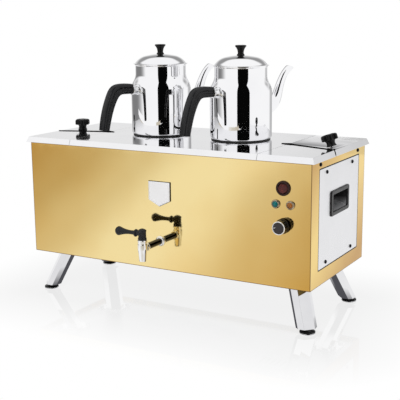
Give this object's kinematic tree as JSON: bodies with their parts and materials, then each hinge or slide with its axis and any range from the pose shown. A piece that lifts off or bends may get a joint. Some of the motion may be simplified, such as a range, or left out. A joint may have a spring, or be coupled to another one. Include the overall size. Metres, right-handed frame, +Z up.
{
  "type": "tea urn",
  "caption": "Gold-cased catering tea urn on splayed chrome legs, with a front tap, lift-off fill lids and steel teapots warming on the deck.",
  "frame": {"origin": "on the floor under the middle of the whole urn's box, tap and teapot spouts included", "axes": "+X along the front to the right as seen from the tap side, +Y from the tap side to the back, +Z up"},
  "size_m": [0.695, 0.4032, 0.558],
  "materials": {
    "gilt_steel": "gold-toned polished steel sheet",
    "polished_steel": "mirror-polished stainless steel",
    "panel_steel": "satin stainless steel sheet",
    "inner_steel": "plain mill-finish stainless steel",
    "chrome_plate": "bright chrome plating",
    "badge_metal": "bright plated badge, no lettering",
    "black_plastic": "black moulded heat-proof plastic",
    "black_screw": "black oxide steel",
    "red_rocker": "clear red rocker",
    "green_lens": "clear green lens",
    "amber_lens": "clear amber lens",
    "brass": "plain brass",
    "silicone": "dark silicone rubber",
    "element_sheath": "matt nickel-steel sheath",
    "terminal_plastic": "cream moulded terminal block"
  },
  "bodies": {
    "casing": {"base_tray": "inner_steel", "front_panel": "gilt_steel", "back_panel": "gilt_steel", "left_panel": "gilt_steel", "right_panel": "gilt_steel", "service_panel_left": "panel_steel", "service_panel_right": "panel_steel", "carry_handle_left": "black_plastic", "carry_handle_right": "black_plastic", "side_screws": "black_screw", "badge_plate": "badge_metal", "tank": "inner_steel", "top_plate": "polished_steel", "corner_plate_left": "polished_steel", "corner_plate_right": "polished_steel", "lid_nuts": "brass", "pot_seals": "silicone", "heater_plug": "brass", "heater_gasket": "silicone", "heating_elements": "element_sheath", "thermostat_body": "inner_steel", "thermostat_probe": "brass", "limit_thermostat": "inner_steel", "terminal_block": "terminal_plastic", "cable_gland": "black_plastic", "switch_housing": "black_plastic", "green_lamp_bezel": "chrome_plate", "green_lamp_lens": "green_lens", "amber_lamp_bezel": "chrome_plate", "amber_lamp_lens": "amber_lens", "tap_shank": "chrome_plate", "tap_collar": "chrome_plate", "tap_lock_nut": "brass", "tap_body": "chrome_plate", "leg_bolts": "inner_steel", "leg_front_left": "chrome_plate", "leg_front_right": "chrome_plate", "leg_back_left": "chrome_plate", "leg_back_right": "chrome_plate"},
    "tap_handle": {"tap_lever": "black_plastic", "tap_spindle": "brass"},
    "dial": {"thermostat_knob": "black_plastic"},
    "rocker": {"switch_rocker": "red_rocker"},
    "lid_left": {"fill_lid_left": "polished_steel"},
    "clamp_knob_left": {"star_knob_left": "black_plastic"},
    "teapot_left": {"pot_body_left": "polished_steel", "pot_grip_left": "black_plastic"},
    "teapot_lid_left": {"pot_lid_left": "polished_steel", "pot_lid_knob_left": "black_plastic"},
    "lid_right": {"fill_lid_right": "polished_steel"},
    "clamp_knob_right": {"star_knob_right": "black_plastic"},
    "teapot_right": {"pot_body_right": "polished_steel", "pot_grip_right": "black_plastic"},
    "teapot_lid_right": {"pot_lid_right": "polished_steel", "pot_lid_knob_right": "black_plastic"},
    "foot_front_left": {"foot_front_left": "black_plastic"},
    "foot_front_right": {"foot_front_right": "black_plastic"},
    "foot_back_left": {"foot_back_left": "black_plastic"},
    "foot_back_right": {"foot_back_right": "black_plastic"}
  },
  "joints": [
    {"name": "tap_turn", "type": "hinge", "parent": "casing", "child": "tap_handle", "pos_m": [0, -0.19157, 0.1565], "axis": [0, 0, 1], "range_deg": [0, 90]},
    {"name": "dial_turn", "type": "hinge", "parent": "casing", "child": "dial", "pos_m": [0.2815, -0.12257, 0.22], "axis": [0, -1, 0], "range_deg": [-270, 0]},
    {"name": "rocker_tip", "type": "hinge", "parent": "casing", "child": "rocker", "pos_m": [0.2815, -0.12477, 0.2945], "axis": [1, 0, 0], "range_deg": [0, 16]},
    {"name": "lid_lift_left", "type": "slide", "parent": "casing", "child": "lid_left", "axis": [0, 0, 1], "range_m": [0, 0.12]},
    {"name": "clamp_knob_turn_left", "type": "hinge", "parent": "lid_left", "child": "clamp_knob_left", "pos_m": [-0.306, 0.02443, 0.3583], "axis": [0, 0, 1], "continuous": true},
    {"name": "teapot_lift_left", "type": "slide", "parent": "casing", "child": "teapot_left", "axis": [0, 0, 1], "range_m": [0, 0.12]},
    {"name": "teapot_lid_lift_left", "type": "slide", "parent": "teapot_left", "child": "teapot_lid_left", "axis": [0, 0, 1], "range_m": [0, 0.08]},
    {"name": "lid_lift_right", "type": "slide", "parent": "casing", "child": "lid_right", "axis": [0, 0, 1], "range_m": [0, 0.12]},
    {"name": "clamp_knob_turn_right", "type": "hinge", "parent": "lid_right", "child": "clamp_knob_right", "pos_m": [0.328, 0.00543, 0.3619], "axis": [-0.309, 0, 0.9511], "continuous": true},
    {"name": "teapot_lift_right", "type": "slide", "parent": "casing", "child": "teapot_right", "axis": [0, 0, 1], "range_m": [0, 0.12]},
    {"name": "teapot_lid_lift_right", "type": "slide", "parent": "teapot_right", "child": "teapot_lid_right", "axis": [0, 0, 1], "range_m": [0, 0.08]},
    {"name": "foot_turn_front_left", "type": "hinge", "parent": "casing", "child": "foot_front_left", "pos_m": [-0.3235, -0.09357, 0], "axis": [0, 0, 1], "continuous": true},
    {"name": "foot_turn_front_right", "type": "hinge", "parent": "casing", "child": "foot_front_right", "pos_m": [0.3235, -0.09357, 0], "axis": [0, 0, 1], "continuous": true},
    {"name": "foot_turn_back_left", "type": "hinge", "parent": "casing", "child": "foot_back_left", "pos_m": [-0.3235, 0.13843, 0], "axis": [0, 0, 1], "continuous": true},
    {"name": "foot_turn_back_right", "type": "hinge", "parent": "casing", "child": "foot_back_right", "pos_m": [0.3235, 0.13843, 0], "axis": [0, 0, 1], "continuous": true}
  ]
}
